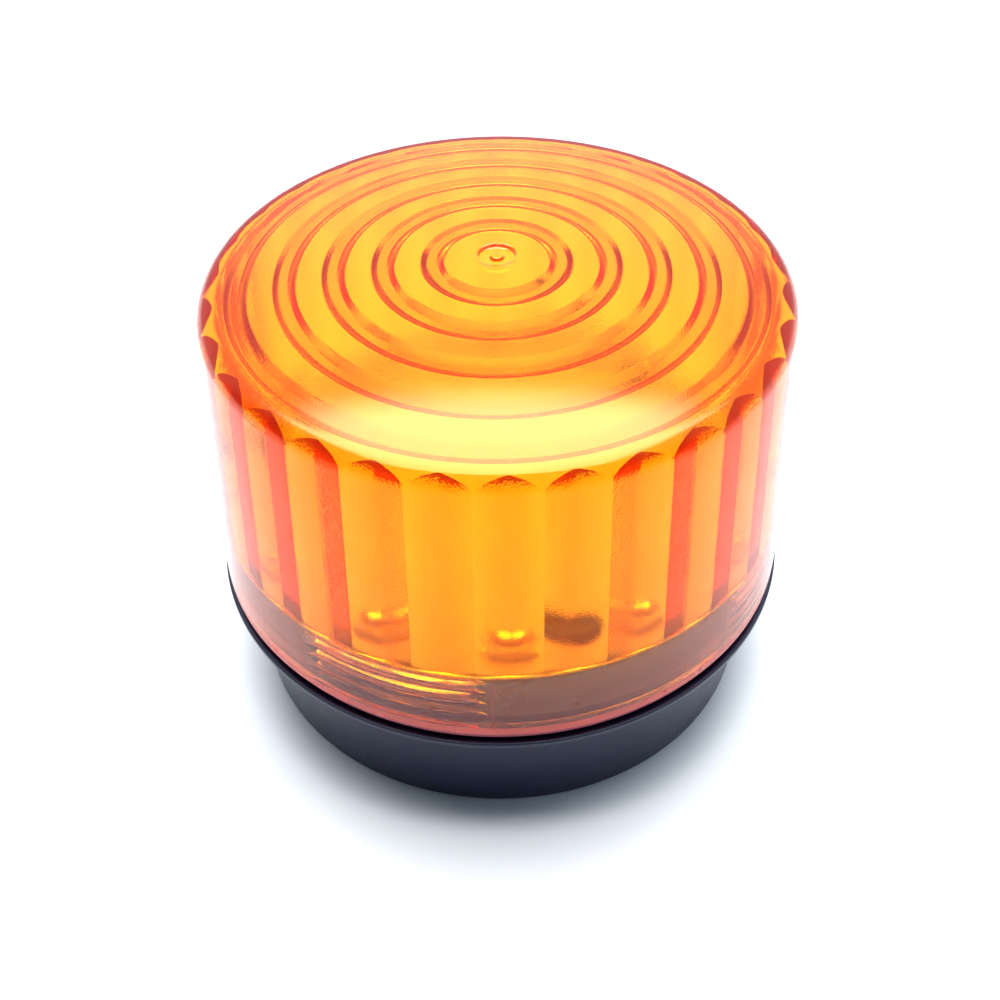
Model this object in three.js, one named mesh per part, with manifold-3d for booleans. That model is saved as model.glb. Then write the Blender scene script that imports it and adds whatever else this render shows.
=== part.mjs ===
// Round amber flashing warning light: a screw-on prismatic lens on a threaded black base that holds
// an LED board above a driver board.  Units are millimetres, +Z is up, the floor is z = 0, the axis
// is x = y = 0 and the front faces -Y.  An azimuth is in degrees, from the front towards +X.
import * as THREE from 'three';
import { mergeVertices } from 'three/addons/utils/BufferGeometryUtils.js';
import Module from 'manifold-3d';

const wasm = await Module();
wasm.setup();

// ---- driving dimensions ----
const GAP = 0.3;                 // air between pieces that rest on each other
const LENS_FACES = 60;            // flat faces round the lens, two for each prism
const BASE_FACES = 48;            // and round the base, boards and seal

const FOOT_RADIUS = 44.6;        // base at the floor
const NECK_RADIUS = 46.4;        // base under the flange
const CUP_RADIUS = 42.4;         // inside of the base
const RECESS_RADIUS = 39.5;      // hollow under the floor, inside the foot
const FLOOR_LOW = 1.2;
const FLOOR_TOP = 3.4;
const FLANGE_RADIUS = 50;
const FLANGE_LOW = 21.3;
const FLANGE_TOP = 22.5;
const COLLAR_RADIUS = 45.6;
const COLLAR_TOP = 32.9;         // the LED board rests here
const EDGE = 0.4;                // broken edges of the base

const THREAD_LEAD = 2.5;
const THREAD_START = -40;        // azimuth where the first thread segment begins
const THREAD_ARC = 36.5;
const THREAD_COUNT = 4;          // segments round the lens and round the collar
const THREAD_AT_FRONT = 25.6;    // height of a lens ridge at azimuth 0
const LENS_THREAD_SPAN = [25.2, 36.2];      // lowest and highest ridge on the lens
const COLLAR_THREAD_SPAN = [23.4, 32.2];    // and on the collar
const RIDGE_ROOT_HALF = 0.75;
const RIDGE_CREST_HALF = 0.35;
const LENS_CREST = 46.3;
const COLLAR_CREST = 46.7;
const ROOT_DEPTH = 0.4;          // how far a ridge's root is sunk into its wall
const RIDGE_STEPS = 4;

const RIM_Z = 24.4;              // lower edge of the lens
const RIM_RADIUS = 49.6;
const SHOULDER_RADIUS = 47.5;
const SHOULDER_FILLET = 3.2;
const DOME_TOP = 81.3;
const DOME_SAG = 0.0023;         // fall of the dome, per millimetre of radius squared
const GATE_RADIUS = 3.35;
const GATE_BUMP = 0.8;
const GATE_DEPTH = 0.5;
const SKIRT_BORE = 47.5;
const LEDGE_Z = 36.7;            // lower end of the prisms
const PRISM_COUNT = 30;
const PRISM_VALLEY = 47.1;       // inner radius where two prisms meet, at the ledge
const PRISM_RIDGE = 46;          // inner radius of a prism's ridge, at the ledge
const PRISM_PHASE = -4.6;        // azimuth of one valley
const PRISM_DRAFT = 0.00082;     // share of the radius lost with each millimetre up
const ROOF = 1.5;                // thickness of the lens top
const INNER_FILLET = 2.95;
const INNER_FILLET_CENTRE = 42.8;
const RING_COUNT = 5;
const RING_FIRST = 11.96;        // outer radius of the smallest ring
const RING_PITCH = 7.75;
const RING_WIDTH = 3.8;
const RING_SLOPE = 1.15;
const RING_DEPTH = 1;

const BOARD = 1.6;               // thickness of both boards
const LED_BOARD_Z = COLLAR_TOP + GAP;
const LED_BOARD_RADIUS = 44.9;
const LED_COUNT = 12;
const LED_RING = 39.4;
const LED_PHASE = 2;
const PILLAR_RING = 37.6;
const PILLAR_AZIMUTHS = [17, 137, 257];
const DRIVER_Z = 9;
const DRIVER_RADIUS = 33.8;
const BOSS_RING = 29;
const BOSS_AZIMUTHS = [0, 120, 240];
const PILLAR_RADIUS = 3.2;
const PILOT_RADIUS = 1.5;        // screw holes in pillars and bosses
const PILOT_DEPTH = 7.5;
const BOARD_HOLE = 1.8;
const SCREW = { head: 2.8, height: 1.8, shank: 1.2, length: 8 };

const GROMMET_Y = 27;
const GROMMET_HOLE = 4;
const GROMMET_BORE = 2;
const GROMMET_FLANGE = 5.2;

const TERMINAL_PITCH = 5.08;
const TERMINAL_Y = 22;
const TERMINAL = { width: 10.6, depth: 8.5, height: 10.5 };

// ---- colours ----
const paint = (color, roughness, metalness = 0) => new THREE.MeshStandardMaterial({ color, roughness, metalness });
const AMBER = new THREE.MeshStandardMaterial({
  color: 0xffa012, roughness: 0.08, metalness: 0, transparent: true, opacity: 0.6 });
const BASE_BLACK = paint(0x2b3443, 0.5);
const RUBBER = paint(0x141414, 0.85);
const BOARD_WHITE = paint(0xf0ede2, 0.45);
const BOARD_GREEN = paint(0x1f6b3a, 0.45);
const LED_BODY = paint(0xf6efc8, 0.2);
const BLACK_STEEL = paint(0x26282b, 0.4, 0.9);
const ZINC_STEEL = paint(0xb9bcc0, 0.3, 1);
const EPOXY_BLACK = paint(0x1a1b1d, 0.6);
const SLEEVE_BLUE = paint(0x24407c, 0.4);
const FERRITE = paint(0x3b3d40, 0.7);
const COPPER = paint(0xb4622d, 0.3, 0.9);
const RESISTOR_TAN = paint(0xd1b48a, 0.6);
const CERAMIC_ORANGE = paint(0xc76a2a, 0.5);
const TERMINAL_GREEN = paint(0x2f8f4e, 0.5);
const BRASS = paint(0xc9a34a, 0.3, 1);
const LEAD_RED = paint(0xb3221c, 0.5);
const LEAD_BLACK = paint(0x17181a, 0.5);

// ---- solids from three.js geometries ----
function solid(geometry) {
  const bare = geometry.index ? geometry.toNonIndexed() : geometry.clone();
  bare.deleteAttribute('normal');
  bare.deleteAttribute('uv');
  const merged = mergeVertices(bare, 1e-4);
  const points = merged.attributes.position.array;
  const corner = (i) => new THREE.Vector3().fromArray(points, 3 * i);
  const triangles = [];
  let volume = 0;
  for (let i = 0; i < merged.index.count; i += 3) {
    const [a, b, c] = [0, 1, 2].map((k) => merged.index.getX(i + k));
    if (a === b || b === c || c === a) continue;
    triangles.push([a, b, c]);
    volume += corner(a).dot(corner(b).cross(corner(c)));
  }
  const outward = volume > 0 ? triangles : triangles.map(([a, b, c]) => [a, c, b]);
  return new wasm.Manifold(new wasm.Mesh({
    numProp: 3, vertProperties: new Float32Array(points), triVerts: new Uint32Array(outward.flat()) }));
}

function piece(name, body, material) {
  const { vertProperties, triVerts } = body.getMesh();
  const geometry = new THREE.BufferGeometry();
  geometry.setAttribute('position', new THREE.BufferAttribute(vertProperties, 3));
  geometry.setIndex(new THREE.BufferAttribute(triVerts, 1));
  geometry.computeVertexNormals();
  const mesh = new THREE.Mesh(geometry, material);
  mesh.name = name;
  return mesh;
}

const joined = (bodies) => bodies.reduce((whole, body) => whole.add(body));

// A profile of [radius, height] points turned about the Z axis, with a corner at the given azimuth.
function turned(profile, faces, azimuth = 0) {
  const points = profile.map(([r, z]) => new THREE.Vector2(r, z));
  const lathe = new THREE.LatheGeometry(points, faces).rotateX(Math.PI / 2);
  return solid(lathe.rotateZ(THREE.MathUtils.degToRad(azimuth)));
}

// A round bar from height z upwards.
function bar(radius, height, x, y, z, faces = 12) {
  const geometry = new THREE.CylinderGeometry(radius, radius, height, faces).rotateX(Math.PI / 2);
  return solid(geometry.translate(x, y, z + height / 2));
}

// A box centred on x and y, from height z upwards.
function block(width, depth, height, x, y, z) {
  return solid(new THREE.BoxGeometry(width, depth, height).translate(x, y, z + height / 2));
}

// A round wire of the given radius through a list of points.
function wire(radius, points, faces = 6) {
  const section = new THREE.Shape().absarc(0, 0, radius, 0, 2 * Math.PI);
  const path = new THREE.CatmullRomCurve3(points.map((p) => new THREE.Vector3(...p)));
  return solid(new THREE.ExtrudeGeometry(section, {
    curveSegments: faces / 2, steps: 2 * (points.length - 1), extrudePath: path }));
}

const arc = (r, z, radius, from, to, steps) => Array.from({ length: steps + 1 }, (_, i) => {
  const angle = THREE.MathUtils.degToRad(from + (to - from) * i / steps);
  return [r + radius * Math.cos(angle), z + radius * Math.sin(angle)];
});

function onCircle(radius, azimuth) {
  const angle = THREE.MathUtils.degToRad(azimuth);
  return [radius * Math.sin(angle), -radius * Math.cos(angle)];
}

// ---- threads ----
// One ridge of an interrupted right-hand thread: a straight trapezoidal bar bent round the axis.
function threadRidge(rootRadius, crestRadius, azimuth, height) {
  const profile = new THREE.Shape([
    new THREE.Vector2(rootRadius, -RIDGE_ROOT_HALF), new THREE.Vector2(crestRadius, -RIDGE_CREST_HALF),
    new THREE.Vector2(crestRadius, RIDGE_CREST_HALF), new THREE.Vector2(rootRadius, RIDGE_ROOT_HALF)]);
  const geometry = new THREE.ExtrudeGeometry(profile, { depth: THREAD_ARC, steps: RIDGE_STEPS, bevelEnabled: false });
  const place = geometry.attributes.position;
  for (let i = 0; i < place.count; i += 1) {
    const [x, y] = onCircle(place.getX(i), azimuth + place.getZ(i));
    place.setXYZ(i, x, y, place.getY(i) + height + THREAD_LEAD * place.getZ(i) / 360);
  }
  return solid(geometry);
}

// An interrupted thread on the helix that crosses azimuth 0 at the given height.
function thread(rootRadius, crestRadius, heightAtFront, [low, high]) {
  const ridges = [];
  for (let segment = 0; segment < THREAD_COUNT; segment += 1) {
    const azimuth = THREAD_START + 360 * segment / THREAD_COUNT;
    const start = heightAtFront + THREAD_LEAD * azimuth / 360;
    const first = start + THREAD_LEAD * Math.ceil((low - start) / THREAD_LEAD);
    for (let height = first; height <= high; height += THREAD_LEAD) {
      ridges.push(threadRidge(rootRadius, crestRadius, azimuth, height));
    }
  }
  return joined(ridges);
}

// ---- lens ----
const domeHeight = (r, top) => top - DOME_SAG * r * r;

function lensOutside() {
  const centre = SHOULDER_RADIUS - SHOULDER_FILLET;
  const slope = THREE.MathUtils.radToDeg(Math.atan(2 * DOME_SAG * centre));
  const filletZ = domeHeight(centre, DOME_TOP) - SHOULDER_FILLET;
  const dome = [30, 15, GATE_RADIUS].map((r) => [r, domeHeight(r, DOME_TOP)]);
  return turned([
    [0, RIM_Z], [RIM_RADIUS - EDGE, RIM_Z], [RIM_RADIUS, RIM_Z + EDGE],
    ...arc(centre, filletZ, SHOULDER_FILLET, 2.4, 90 - slope, 4),
    ...dome, [0, domeHeight(GATE_RADIUS, DOME_TOP)]], LENS_FACES);
}

// The mark of the moulding gate at the top: a shallow ring groove round a low bump.
function gateGroove() {
  const top = DOME_TOP + 1;
  return turned([
    [GATE_BUMP, top], [GATE_BUMP + 0.6, DOME_TOP - GATE_DEPTH], [GATE_RADIUS - 0.8, DOME_TOP - GATE_DEPTH],
    [GATE_RADIUS, top], [GATE_BUMP, top]], 16);
}

// The hollow above the ledge: a dome with a groove for each ring, cut to a star of prism faces.
function lensCore() {
  const top = DOME_TOP - ROOF;
  const rings = Array.from({ length: RING_COUNT }, (_, i) => {
    const outer = RING_FIRST + RING_PITCH * i;
    const radii = [outer - RING_WIDTH, outer - RING_WIDTH + RING_SLOPE, outer - RING_SLOPE, outer];
    return radii.map((r, k) => [r, domeHeight(r, top) - (k === 1 || k === 2 ? RING_DEPTH : 0)]);
  }).flat();
  const filletZ = domeHeight(INNER_FILLET_CENTRE, top) - INNER_FILLET;
  const fillet = arc(INNER_FILLET_CENTRE, filletZ, INNER_FILLET, 80, 0, 4);
  const dome = turned([[0, top], ...rings, ...fillet, [SKIRT_BORE + 1, RIM_Z], [0, RIM_Z]],
    LENS_FACES, PRISM_PHASE);
  const corners = Array.from({ length: 2 * PRISM_COUNT }, (_, i) => {
    const radius = i % 2 ? PRISM_RIDGE : PRISM_VALLEY;
    return new THREE.Vector2(...onCircle(radius, PRISM_PHASE + 180 * i / PRISM_COUNT));
  });
  const star = new THREE.ExtrudeGeometry(new THREE.Shape(corners), {
    depth: top - LEDGE_Z + 1, bevelEnabled: false }).translate(0, 0, LEDGE_Z - 1);
  const { position } = star.attributes;
  for (let i = 0; i < position.count; i++) {
    const scale = 1 - PRISM_DRAFT * (position.getZ(i) - LEDGE_Z);
    position.setXY(i, position.getX(i) * scale, position.getY(i) * scale);
  }
  return dome.intersect(solid(star));
}

function lens() {
  const skirt = turned([[0, RIM_Z - 1], [SKIRT_BORE, RIM_Z - 1], [SKIRT_BORE, LEDGE_Z], [0, LEDGE_Z]],
    LENS_FACES);
  const shell = lensOutside().subtract(lensCore().add(skirt)).subtract(gateGroove());
  const ridges = thread(SKIRT_BORE + ROOT_DEPTH, LENS_CREST, THREAD_AT_FRONT, LENS_THREAD_SPAN);
  return piece('lens', shell.add(ridges), AMBER);
}

function sealRing() {
  const [inner, outer, low, high] = [COLLAR_CREST + 0.25, 48.9, FLANGE_TOP + GAP, RIM_Z - GAP];
  const body = turned([[inner, low], [outer, low], [outer, high], [inner, high], [inner, low]], BASE_FACES);
  return piece('seal_ring', body, RUBBER);
}

// ---- base ----
function baseHousing() {
  const cup = turned([
    [0, FLOOR_LOW], [RECESS_RADIUS, FLOOR_LOW], [RECESS_RADIUS, 0], [FOOT_RADIUS - EDGE, 0], [FOOT_RADIUS, EDGE],
    [NECK_RADIUS, FLANGE_LOW], [FLANGE_RADIUS - EDGE, FLANGE_LOW], [FLANGE_RADIUS, FLANGE_LOW + EDGE],
    [FLANGE_RADIUS, FLANGE_TOP - EDGE], [FLANGE_RADIUS - EDGE, FLANGE_TOP], [COLLAR_RADIUS, FLANGE_TOP],
    [COLLAR_RADIUS, COLLAR_TOP - EDGE], [COLLAR_RADIUS - EDGE, COLLAR_TOP], [CUP_RADIUS, COLLAR_TOP],
    [CUP_RADIUS, FLOOR_TOP], [0, FLOOR_TOP]], BASE_FACES);
  const post = (ring, azimuth, top) => {
    const [x, y] = onCircle(ring, azimuth);
    return bar(PILLAR_RADIUS, top - FLOOR_LOW, x, y, FLOOR_LOW);
  };
  const pilot = (ring, azimuth, top) => {
    const [x, y] = onCircle(ring, azimuth);
    return bar(PILOT_RADIUS, PILOT_DEPTH, x, y, top - PILOT_DEPTH + 1);
  };
  const bossTop = DRIVER_Z - GAP;
  const posts = [
    ...PILLAR_AZIMUTHS.map((azimuth) => post(PILLAR_RING, azimuth, COLLAR_TOP)),
    ...BOSS_AZIMUTHS.map((azimuth) => post(BOSS_RING, azimuth, bossTop))];
  const holes = [
    ...PILLAR_AZIMUTHS.map((azimuth) => pilot(PILLAR_RING, azimuth, COLLAR_TOP)),
    ...BOSS_AZIMUTHS.map((azimuth) => pilot(BOSS_RING, azimuth, bossTop)),
    bar(GROMMET_HOLE, FLOOR_TOP, 0, GROMMET_Y, 0, 20)];
  const ridges = thread(COLLAR_RADIUS - ROOT_DEPTH, COLLAR_CREST, THREAD_AT_FRONT - THREAD_LEAD / 2,
    COLLAR_THREAD_SPAN);
  return piece('base_housing', joined([cup, ridges, ...posts]).subtract(joined(holes)), BASE_BLACK);
}

function cableGrommet() {
  const neck = GROMMET_HOLE - GAP;
  const body = turned([
    [GROMMET_BORE, 0.2], [GROMMET_FLANGE, 0.2], [GROMMET_FLANGE, FLOOR_LOW - GAP], [neck, FLOOR_LOW - GAP],
    [neck, FLOOR_TOP + GAP], [GROMMET_FLANGE, FLOOR_TOP + GAP], [GROMMET_FLANGE - 0.6, FLOOR_TOP + 1.6],
    [GROMMET_BORE, FLOOR_TOP + 1.6], [GROMMET_BORE, 0.2]], 20);
  const grommet = piece('cable_grommet', body, RUBBER);
  grommet.position.set(0, GROMMET_Y, 0);
  return grommet;
}

// ---- fasteners ----
// Pan-head screw with a cross recess, its head's underside at z = 0.
function panScrew(name, material) {
  const { head, height, shank, length } = SCREW;
  const profile = [
    [0, -length], [shank, 1 - length], [shank, 0], [head, 0], [head, height * 0.45],
    [head * 0.8, height * 0.85], [head * 0.4, height], [0, height]];
  const recess = block(head * 1.1, 0.7, height, 0, 0, height * 0.45);
  const across = block(0.7, head * 1.1, height, 0, 0, height * 0.45);
  return piece(name, turned(profile, 12).subtract(recess.add(across)), material);
}

function screwSet(prefix, ring, azimuths, boardTop, material) {
  return azimuths.map((azimuth, i) => {
    const screw = panScrew(`${prefix}_${i + 1}`, material);
    screw.position.set(...onCircle(ring, azimuth), boardTop + GAP);
    screw.rotation.z = THREE.MathUtils.degToRad(azimuth);
    return screw;
  });
}

// ---- boards and what is on them ----
function roundBoard(name, radius, z, ring, azimuths, cutouts, material) {
  const holes = azimuths.map((azimuth) => bar(BOARD_HOLE, BOARD + 2, ...onCircle(ring, azimuth), -1));
  const disc = bar(radius, BOARD, 0, 0, 0, BASE_FACES).subtract(joined([...holes, ...cutouts]));
  const board = piece(name, disc, material);
  board.position.set(0, 0, z);
  return board;
}

function led(index) {
  const [side, plate, radius] = [5, 1.4, 2.2];
  const body = block(side, side, plate, 0, 0, 0).add(
    turned([[0, plate / 2], [radius, plate / 2], ...arc(0, plate, radius, 0, 90, 4)], 12));
  const azimuth = LED_PHASE + 360 * index / LED_COUNT;
  const lamp = piece(`led_${index + 1}`, body, LED_BODY);
  lamp.position.set(...onCircle(LED_RING, azimuth), LED_BOARD_Z + BOARD + GAP);
  lamp.rotation.z = THREE.MathUtils.degToRad(azimuth);
  return lamp;
}

function reservoirCapacitor() {
  const [radius, height, crimp] = [5, 17, 2.4];
  const body = turned([
    [0, 0], [radius, 0], [radius, crimp - 0.6], [radius - 0.5, crimp], [radius, crimp + 0.6],
    [radius, height - 0.6], [radius - 0.6, height], [radius - 1.2, height - 0.3], [0, height - 0.3]], 24);
  return piece('reservoir_capacitor', body, SLEEVE_BLUE);
}

const CHOKE = { radius: 6, waist: 2.6, height: 11, flange: 1.8 };

function chokeCore() {
  const { radius, waist, height, flange } = CHOKE;
  const body = turned([
    [0, 0], [radius, 0], [radius, flange], [waist, flange], [waist, height - flange],
    [radius, height - flange], [radius, height], [0, height]], 20);
  return piece('choke_core', body, FERRITE);
}

function chokeWinding() {
  const { radius, waist, height, flange } = CHOKE;
  const [inner, outer, low, high] = [waist + GAP, radius - 0.7, flange + GAP, height - flange - GAP];
  const body = turned([[inner, low], [outer, low], [outer, high], [inner, high], [inner, low]], 20);
  return piece('choke_winding', body, COPPER);
}

function flasherChip() {
  const [length, width, height, standoff, pitch] = [9.6, 6.4, 3.3, 0.6, 2.54];
  const legs = [-1.5, -0.5, 0.5, 1.5].flatMap((step) => [-1, 1].flatMap((side) => [
    block(0.5, 1, 0.3, step * pitch, side * (width / 2 + 0.3), standoff + 1.5),
    block(0.5, 0.3, standoff + 1.8, step * pitch, side * (width / 2 + 0.65), 0)]));
  const notch = bar(0.9, 1, -length / 2, 0, standoff + height - 0.5);
  const body = block(length, width, height, 0, 0, standoff).subtract(notch);
  return piece('flasher_chip', joined([body, ...legs]), EPOXY_BLACK);
}

function powerTransistor() {
  const [width, depth, height, lift] = [10, 4.4, 9, 3];
  const tab = block(width, 1.3, height + 6, 0, depth / 2 - 0.65, lift + 0.5);
  const hole = solid(new THREE.CylinderGeometry(1.8, 1.8, depth, 12).translate(0, depth / 2, lift + height + 3.2));
  const legs = [-2.54, 0, 2.54].map((x) => block(0.8, 0.6, lift + 1, x, -0.2, 0));
  return piece('power_transistor', joined([block(width, depth, height, 0, 0, lift), tab, ...legs]).subtract(hole),
    EPOXY_BLACK);
}

// Small round component lying along X with its two leads bent down to the board.
function axialPart(name, radius, length, material) {
  const [reach, rise] = [length / 2 + 1.6, radius + 0.4];
  const body = solid(new THREE.CylinderGeometry(radius, radius, length, 12).rotateZ(Math.PI / 2)
    .translate(0, 0, rise));
  const lead = [-1, 1].map((side) => wire(0.3, [
    [side * (length / 2 - 0.5), 0, rise], [side * (reach - 0.5), 0, rise - 0.1], [side * reach, 0, 0]]));
  return piece(name, joined([body, ...lead]), material);
}

function timingCapacitor() {
  const disc = solid(new THREE.CylinderGeometry(3, 3, 1.8, 16).translate(0, 0, 5));
  const legs = [-1.8, 1.8].map((x) => block(0.5, 0.5, 4, x, 0, 0));
  return piece('timing_capacitor', joined([disc, ...legs]), CERAMIC_ORANGE);
}

function linkLead(name, x, y, bow, material) {
  const [low, high] = [DRIVER_Z + BOARD + GAP, LED_BOARD_Z - GAP];
  const middle = (low + high) / 2;
  return piece(name, wire(0.75, [[x, y, low], [x, y, low + 3], [x + bow, y, middle], [x, y, high - 3], [x, y, high]],
    8), material);
}

// ---- terminal block: a screw turns in each well and moves the cage that grips the wire ----
const CAGE = { width: 3.8, depth: 4.5, height: 3.4, wall: 0.7, z: 2.7 };
const WELL_Z = 7.2;

function terminalBlock() {
  const { width, depth, height } = TERMINAL;
  const hollows = [-0.5, 0.5].flatMap((side) => {
    const x = side * TERMINAL_PITCH;
    return [
      block(CAGE.width + 2 * GAP, depth, 5.6, x, depth / 2 - CAGE.depth / 2 - GAP, 0.8),
      bar(2.2, height, x, 0, WELL_Z, 16),
      bar(1.3, height, x, 0, 2)];
  });
  return piece('terminal_block', block(width, depth, height, 0, 0, 0).subtract(joined(hollows)), TERMINAL_GREEN);
}

function terminalScrew(name) {
  const head = WELL_Z + GAP;
  const body = turned([[0, 3.9], [1, 3.9], [1, head], [1.9, head], [1.9, head + 1.8], [0, head + 1.8]], 12);
  return piece(name, body.subtract(block(5, 0.6, 2, 0, 0, head + 1.1)), ZINC_STEEL);
}

function terminalCage(name) {
  const { width, depth, height, wall, z } = CAGE;
  const frame = block(width, depth, height, 0, 0, z);
  const window = block(width - 2 * wall, depth + 1, height - 2 * wall, 0, 0, z + wall);
  return piece(name, frame.subtract(joined([window, bar(1.3, 2, 0, 0, z + height - 1)])), BRASS);
}

function terminals() {
  const group = new THREE.Group();
  group.position.set(0, TERMINAL_Y, DRIVER_Z + BOARD + GAP);
  group.add(terminalBlock());
  [['left', -0.5], ['right', 0.5]].forEach(([side, step]) => {
    const screw = terminalScrew(`terminal_screw_${side}`);
    const cage = terminalCage(`terminal_cage_${side}`);
    screw.position.x = step * TERMINAL_PITCH;
    cage.position.x = step * TERMINAL_PITCH;
    group.add(screw, cage);
  });
  return group;
}

function driverParts() {
  const group = new THREE.Group();
  group.position.z = DRIVER_Z + BOARD + GAP;
  const put = (mesh, x, y, turn = 0) => {
    mesh.position.set(x, y, 0);
    mesh.rotation.z = THREE.MathUtils.degToRad(turn);
    group.add(mesh);
  };
  put(reservoirCapacitor(), -15, -2);
  put(chokeCore(), 15, -5);
  put(chokeWinding(), 15, -5);
  put(flasherChip(), 0, -7);
  put(powerTransistor(), 13, 9);
  put(axialPart('rectifier_diode', 1.4, 5.2, EPOXY_BLACK), -9, 10, 90);
  put(axialPart('led_resistor_1', 1.2, 6.3, RESISTOR_TAN), -9, -17, 20);
  put(axialPart('led_resistor_2', 1.2, 6.3, RESISTOR_TAN), 9, -17, -20);
  put(timingCapacitor(), 0, 5);
  return group;
}

const group = new THREE.Group();
const wireNotch = block(12, 10, BOARD + 2, 0, DRIVER_RADIUS, -1);
group.add(
  baseHousing(), cableGrommet(), sealRing(), lens(),
  roundBoard('driver_board', DRIVER_RADIUS, DRIVER_Z, BOSS_RING, BOSS_AZIMUTHS, [wireNotch], BOARD_GREEN),
  ...screwSet('driver_board_screw', BOSS_RING, BOSS_AZIMUTHS, DRIVER_Z + BOARD, ZINC_STEEL),
  driverParts(), terminals(),
  linkLead('link_lead_red', -23, 3, 1.2, LEAD_RED), linkLead('link_lead_black', -23, 7, 2, LEAD_BLACK),
  roundBoard('led_board', LED_BOARD_RADIUS, LED_BOARD_Z, PILLAR_RING, PILLAR_AZIMUTHS, [], BOARD_WHITE),
  ...screwSet('led_board_screw', PILLAR_RING, PILLAR_AZIMUTHS, LED_BOARD_Z + BOARD, BLACK_STEEL),
  ...Array.from({ length: LED_COUNT }, (_, i) => led(i)));

export default group;
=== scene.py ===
"""Round amber warning light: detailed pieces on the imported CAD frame, a pale studio and a camera."""
import math

import bmesh
import bpy
from mathutils import Matrix, Vector


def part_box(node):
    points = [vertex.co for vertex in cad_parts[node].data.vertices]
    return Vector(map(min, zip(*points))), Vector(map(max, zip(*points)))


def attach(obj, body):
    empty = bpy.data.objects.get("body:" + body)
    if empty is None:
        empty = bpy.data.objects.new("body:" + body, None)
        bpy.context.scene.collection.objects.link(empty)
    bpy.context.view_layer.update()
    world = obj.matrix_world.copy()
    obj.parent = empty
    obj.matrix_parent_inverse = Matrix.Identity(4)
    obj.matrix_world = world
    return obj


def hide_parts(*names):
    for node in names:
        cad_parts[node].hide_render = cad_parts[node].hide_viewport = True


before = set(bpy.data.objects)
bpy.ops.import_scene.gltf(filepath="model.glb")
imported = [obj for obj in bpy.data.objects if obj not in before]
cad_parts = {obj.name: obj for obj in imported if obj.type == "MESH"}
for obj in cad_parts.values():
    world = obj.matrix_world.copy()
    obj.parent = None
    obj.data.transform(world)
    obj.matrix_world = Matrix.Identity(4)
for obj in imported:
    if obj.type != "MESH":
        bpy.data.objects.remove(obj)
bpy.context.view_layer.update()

MM = 0.001

# ---- sizes in millimetres, the same as the CAD model's; azimuth 0 is the front and 90 is +X ----
FLANGE_RADIUS, FLANGE_LOW, FLANGE_TOP = 50, 21.3, 22.5
FOOT_RADIUS, NECK_RADIUS, CUP_RADIUS, RECESS_RADIUS = 44.6, 46.4, 42.4, 39.5
FLOOR_LOW, FLOOR_TOP = 1.2, 3.4
COLLAR_RADIUS, COLLAR_TOP = 45.6, 32.9
THREAD_LEAD, THREAD_START, THREAD_ARC, THREAD_COUNT, THREAD_AT_FRONT = 2.5, -40, 36.5, 4, 25.6
LENS_THREAD_SPAN, COLLAR_THREAD_SPAN = (25.2, 36.2), (23.4, 32.2)
LENS_CREST, COLLAR_CREST = 46.3, 46.7
RIDGE_ROOT_HALF, RIDGE_CREST_HALF, RIDGE_RUN_OUT = 0.66, 0.32, 2
PANEL_MARGIN, PANEL_STEP = 1.6, 0.16
RIM_Z, RIM_EDGE, RIM_RADIUS, SHOULDER_RADIUS, SHOULDER_FILLET = 24.4, 1.8, 49.6, 47.5, 3.2
DOME_TOP, DOME_SAG, ROOF = 81.3, 0.0023, 1.5
GATE_RADIUS, GATE_BUMP, GATE_DEPTH = 3.35, 0.9, 0.5
GAP = 0.3
SKIRT_BORE, LEDGE_Z = 47.5, 36.7
PRISM_COUNT, PRISM_VALLEY, PRISM_RIDGE, PRISM_PHASE, PRISM_DRAFT = 30, 47.1, 46, -4.6, 0.00082
INNER_FILLET, INNER_FILLET_CENTRE = 2.95, 42.8
RING_COUNT, RING_FIRST, RING_PITCH, RING_WIDTH, RING_SLOPE, RING_DEPTH = 5, 11.96, 7.75, 3.8, 1.15, 1
PILLAR_RING, PILLAR_AZIMUTHS = 37.6, (17, 137, 257)
BOSS_RING, BOSS_AZIMUTHS = 29, (0, 120, 240)
PILLAR_RADIUS, PILOT_RADIUS, PILOT_DEPTH, BOARD_HOLE = 3.2, 1.5, 7.5, 1.8
GROMMET_Y, GROMMET_HOLE = 27, 4
LED_COUNT, LED_RING, LED_PHASE = 12, 39.4, 2
LED_PLATE, LED_DOME_RADIUS = 5, 2.2
SCREW_HEAD_RADIUS, SCREW_HEAD_HEIGHT, SCREW_SHANK, SCREW_THREAD_DEPTH, SCREW_LENGTH = 2.75, 1.8, 1.2, 0.25, 8
SCREW_TURNS, SCREW_PITCH = 10, 0.6
RECESS_BARS = ((3.0, 0.75, 0.75), (0.75, 3.0, 0.78))  # width, depth and floor height of each bar

# ---- camera and light ----
CAMERA_BACK, CAMERA_HEIGHT = 0.1893, 0.2067
CAMERA_PITCH, CAMERA_ROLL = 43.22, -0.75
CAMERA_LENS = 51.7
TENT_FRONT, TENT_BACK, TENT_TURN = 0.14, 1.0, (-0.3, 0.25)
TENT_COLOUR, TENT_AXIS = (0.66, 0.82, 1.0, 1), (-0.3, -1, 0)
PANEL_ELEVATION, PANEL_STRENGTH = 76, 11
PANEL_WIDTH, PANEL_DEPTH, HORIZON = (0.28, 0.50), (0.28, 0.40), (-0.1, 0.1)
PANEL_COLOUR = (1.0, 0.985, 0.96, 1)
LIGHT_BOUNCES = 28  # enough for light that is guided along the inside of the lens wall
FLOOR_DROP, FLOOR_RINGS = 0.00005, (0, 300, 1500, 4000)

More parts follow.
